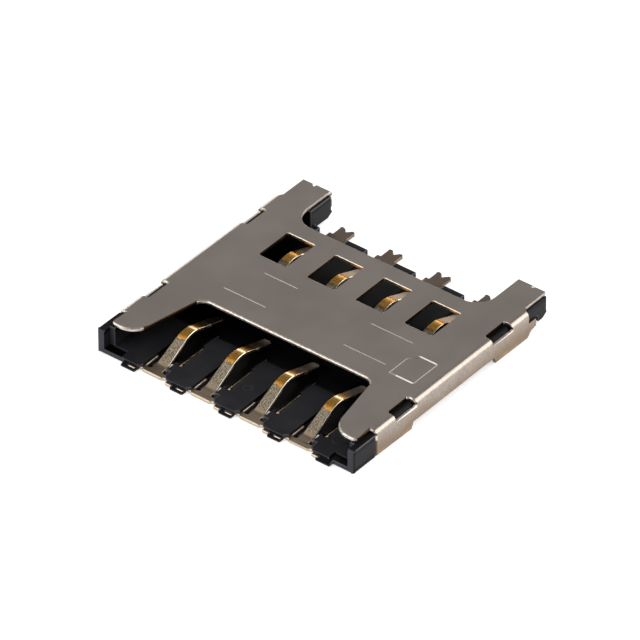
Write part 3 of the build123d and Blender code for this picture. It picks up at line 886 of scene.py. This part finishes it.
def add_ejector_marks(material):
    """The round marks on a rib and on a corner floor of the moulded body, with a painted highlight on their
    rims.
    """
    centres = bpy.data.meshes.new("mark_centres")
    centres.from_pydata([(x * MM, y * MM, z * MM) for x, y, z, _ in EJECTOR_MARKS], [], [])
    shares = centres.attributes.new("share_of_radius", "FLOAT", "POINT")
    shares.data.foreach_set("value", [share for _, _, _, share in EJECTOR_MARKS])
    holder = bpy.data.objects.new("mark_centres", centres)
    bpy.context.collection.objects.link(holder)
    modifier = holder.modifiers.new("ejector_marks", "NODES")
    modifier.node_group = ejector_mark_tree()
    sockets = [item for item in modifier.node_group.interface.items_tree if item.in_out == "INPUT"]
    identifiers = {socket.name: socket.identifier for socket in sockets}
    modifier[identifiers["Material"]] = material
    evaluated = holder.evaluated_get(bpy.context.evaluated_depsgraph_get())
    mesh = bpy.data.meshes.new_from_object(evaluated)
    mesh.name = "ejector_marks"
    holder.modifiers.remove(modifier)
    bpy.data.objects.remove(holder)
    bpy.data.meshes.remove(centres)
    for face in mesh.polygons:
        face.use_smooth = True
    # The marks' rims get part of the body's painted edge highlight
    mark_highlight = mesh.attributes.new("rounded_edge", "FLOAT", "FACE")
    mark_highlight.data.foreach_set("value", [MARK_HIGHLIGHT] * len(mesh.polygons))
    piece = bpy.data.objects.new("ejector_marks", mesh)
    bpy.context.collection.objects.link(piece)
    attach(piece, "root")


# Terminals


def blanked_terminal_face(centre, normal):
    """1 on the blanked sides of a terminal's beam, less where a cut edge lies on the board."""
    if abs(normal.z) < UPRIGHT and centre.z < SHEET:
        return FOOT_BRIGHTNESS
    return 1.0 if abs(normal.x) > TURNED else 0.0


def falling_terminal_face(centre, normal):
    """Grows from 0 to 1 over the crown, on the upper faces that slope down to the beam's tip."""
    if normal.z <= 0 or centre.z <= 2 * SHEET:
        return 0.0
    return faded(normal.y, *TIP_START)


def crown_highlight_terminal_face(centre, normal):
    """1 on the narrow line just past the crown that gets a painted highlight."""
    if normal.z <= 0 or centre.z <= CROWN_HEIGHT:
        return 0.0
    return faded(normal.y, *HIGHLIGHT_START) * (1 - faded(normal.y, *HIGHLIGHT_END))


# Studio


def add_softbox(name, towards, size, brightness, colour):
    """A soft lamp that faces the part; its brightness is what the part sees, whatever the lamp's size."""
    lamp = bpy.data.lights.new(name, "AREA")
    lamp.shape = "RECTANGLE"
    lamp.size, lamp.size_y = size
    lamp.energy = brightness * math.pi * lamp.size * lamp.size_y
    lamp.color = colour
    holder = bpy.data.objects.new(name, lamp)
    direction = Vector(towards).normalized()
    holder.location = direction * LAMP_DISTANCE
    holder.rotation_euler = direction.to_track_quat("Z", "Y").to_euler()
    bpy.context.collection.objects.link(holder)


def backdrop_rays(tree):
    """1 for rays that show the background: camera, glossy and transmission rays."""
    path = tree.nodes.new("ShaderNodeLightPath")
    either = math_node(tree, "MAXIMUM", path.outputs["Is Camera Ray"], path.outputs["Is Glossy Ray"])
    return math_node(tree, "MAXIMUM", either, path.outputs["Is Transmission Ray"])


def set_world():
    """White backdrop low down with a greyer ceiling, and a plain level of soft light."""
    world = bpy.data.worlds.new("studio")
    bpy.context.scene.world = world
    world.use_nodes = True
    tree = world.node_tree
    background = tree.nodes["Background"]
    background.inputs["Color"].default_value = (1.0, 1.0, 1.0, 1.0)
    place = tree.nodes.new("ShaderNodeTexCoord")
    split = tree.nodes.new("ShaderNodeSeparateXYZ")
    tree.links.new(place.outputs["Generated"], split.inputs[0])
    seen = remap(tree, split.outputs["Z"], BACKDROP_TOP, (1.0, CEILING_GREY))
    strength = tree.nodes.new("ShaderNodeMix")
    strength.inputs["A"].default_value = ROOM_LIGHT
    tree.links.new(backdrop_rays(tree), strength.inputs["Factor"])
    tree.links.new(seen, strength.inputs["B"])
    tree.links.new(strength.outputs["Result"], background.inputs["Strength"])


def add_floor():
    """Pale floor that shows white and keeps the part's soft shadow."""
    mesh = bpy.data.meshes.new("floor")
    reach = FLOOR_REACH
    corners = [(-reach, -reach, 0), (reach, -reach, 0), (reach, reach, 0), (-reach, reach, 0)]
    mesh.from_pydata(corners, [], [(0, 1, 2, 3)])
    floor = bpy.data.objects.new("floor", mesh)
    floor.location.z = -FLOOR_DROP
    bpy.context.collection.objects.link(floor)
    material, tree, shader = new_material("pale_floor")
    shader.inputs["Base Color"].default_value = (FLOOR_GREY, FLOOR_GREY, FLOOR_GREY, 1.0)
    shader.inputs["Roughness"].default_value = FLOOR_ROUGHNESS
    shader.inputs["Specular IOR Level"].default_value = 0.0
    shader.inputs["Emission Color"].default_value = (1.0, 1.0, 1.0, 1.0)
    glow = math_node(tree, "MULTIPLY", backdrop_rays(tree), FLOOR_GLOW)
    tree.links.new(glow, shader.inputs["Emission Strength"])
    mesh.materials.append(material)


def add_camera():
    """Camera at the photograph's viewing angle."""
    turn, rise = VIEW_AZIMUTH, VIEW_ELEVATION
    right = Vector((math.cos(turn), math.sin(turn), 0))
    back = Vector((math.sin(turn) * math.cos(rise), -math.cos(turn) * math.cos(rise), math.sin(rise)))
    up = back.cross(right)
    data = bpy.data.cameras.new("camera")
    data.lens = LENS
    data.sensor_width = SENSOR
    data.clip_start, data.clip_end = CLIP_RANGE
    camera = bpy.data.objects.new("camera", data)
    moved = Matrix.Translation(back * VIEW_DISTANCE + right * VIEW_RIGHT + up * VIEW_UP)
    camera.matrix_world = moved @ Matrix((right, up, back)).transposed().to_4x4()
    bpy.context.collection.objects.link(camera)
    bpy.context.scene.camera = camera


uneven = uneven_surface_group()
place = place_on_part_group()
metal = cover_metal(uneven, place)
plastic = body_plastic(uneven, place)
plating = terminal_metal(uneven, place)

cover_marks = {"cut_edge": sheared_cover_face, "fine_groove": fine_groove_face, "shaded_cut": shaded_cut_face}
body_marks = {"entry_face": front_lit_body_face}
terminal_marks = {
    "cut_edge": blanked_terminal_face,
    "falling_face": falling_terminal_face,
    "crown_highlight_face": crown_highlight_terminal_face,
}
dress("shell", metal, cover_marks, SHEET_EDGE, SHEET_EDGE_STEPS, roll_over, cover_normal)
dress("housing", plastic, body_marks, MOULDED_EDGE, MOULDED_EDGE_STEPS)
for row in ("front", "rear"):
    for number in (1, 2, 3, 4):
        dress(f"{row}_contact_{number}", plating, terminal_marks, TERMINAL_EDGE, TERMINAL_EDGE_STEPS)
add_ejector_marks(plastic)

set_world()
add_floor()
add_camera()
for name, settings in LAMPS.items():
    add_softbox(name, *settings)

scene = bpy.context.scene
scene.view_settings.view_transform = "Standard"
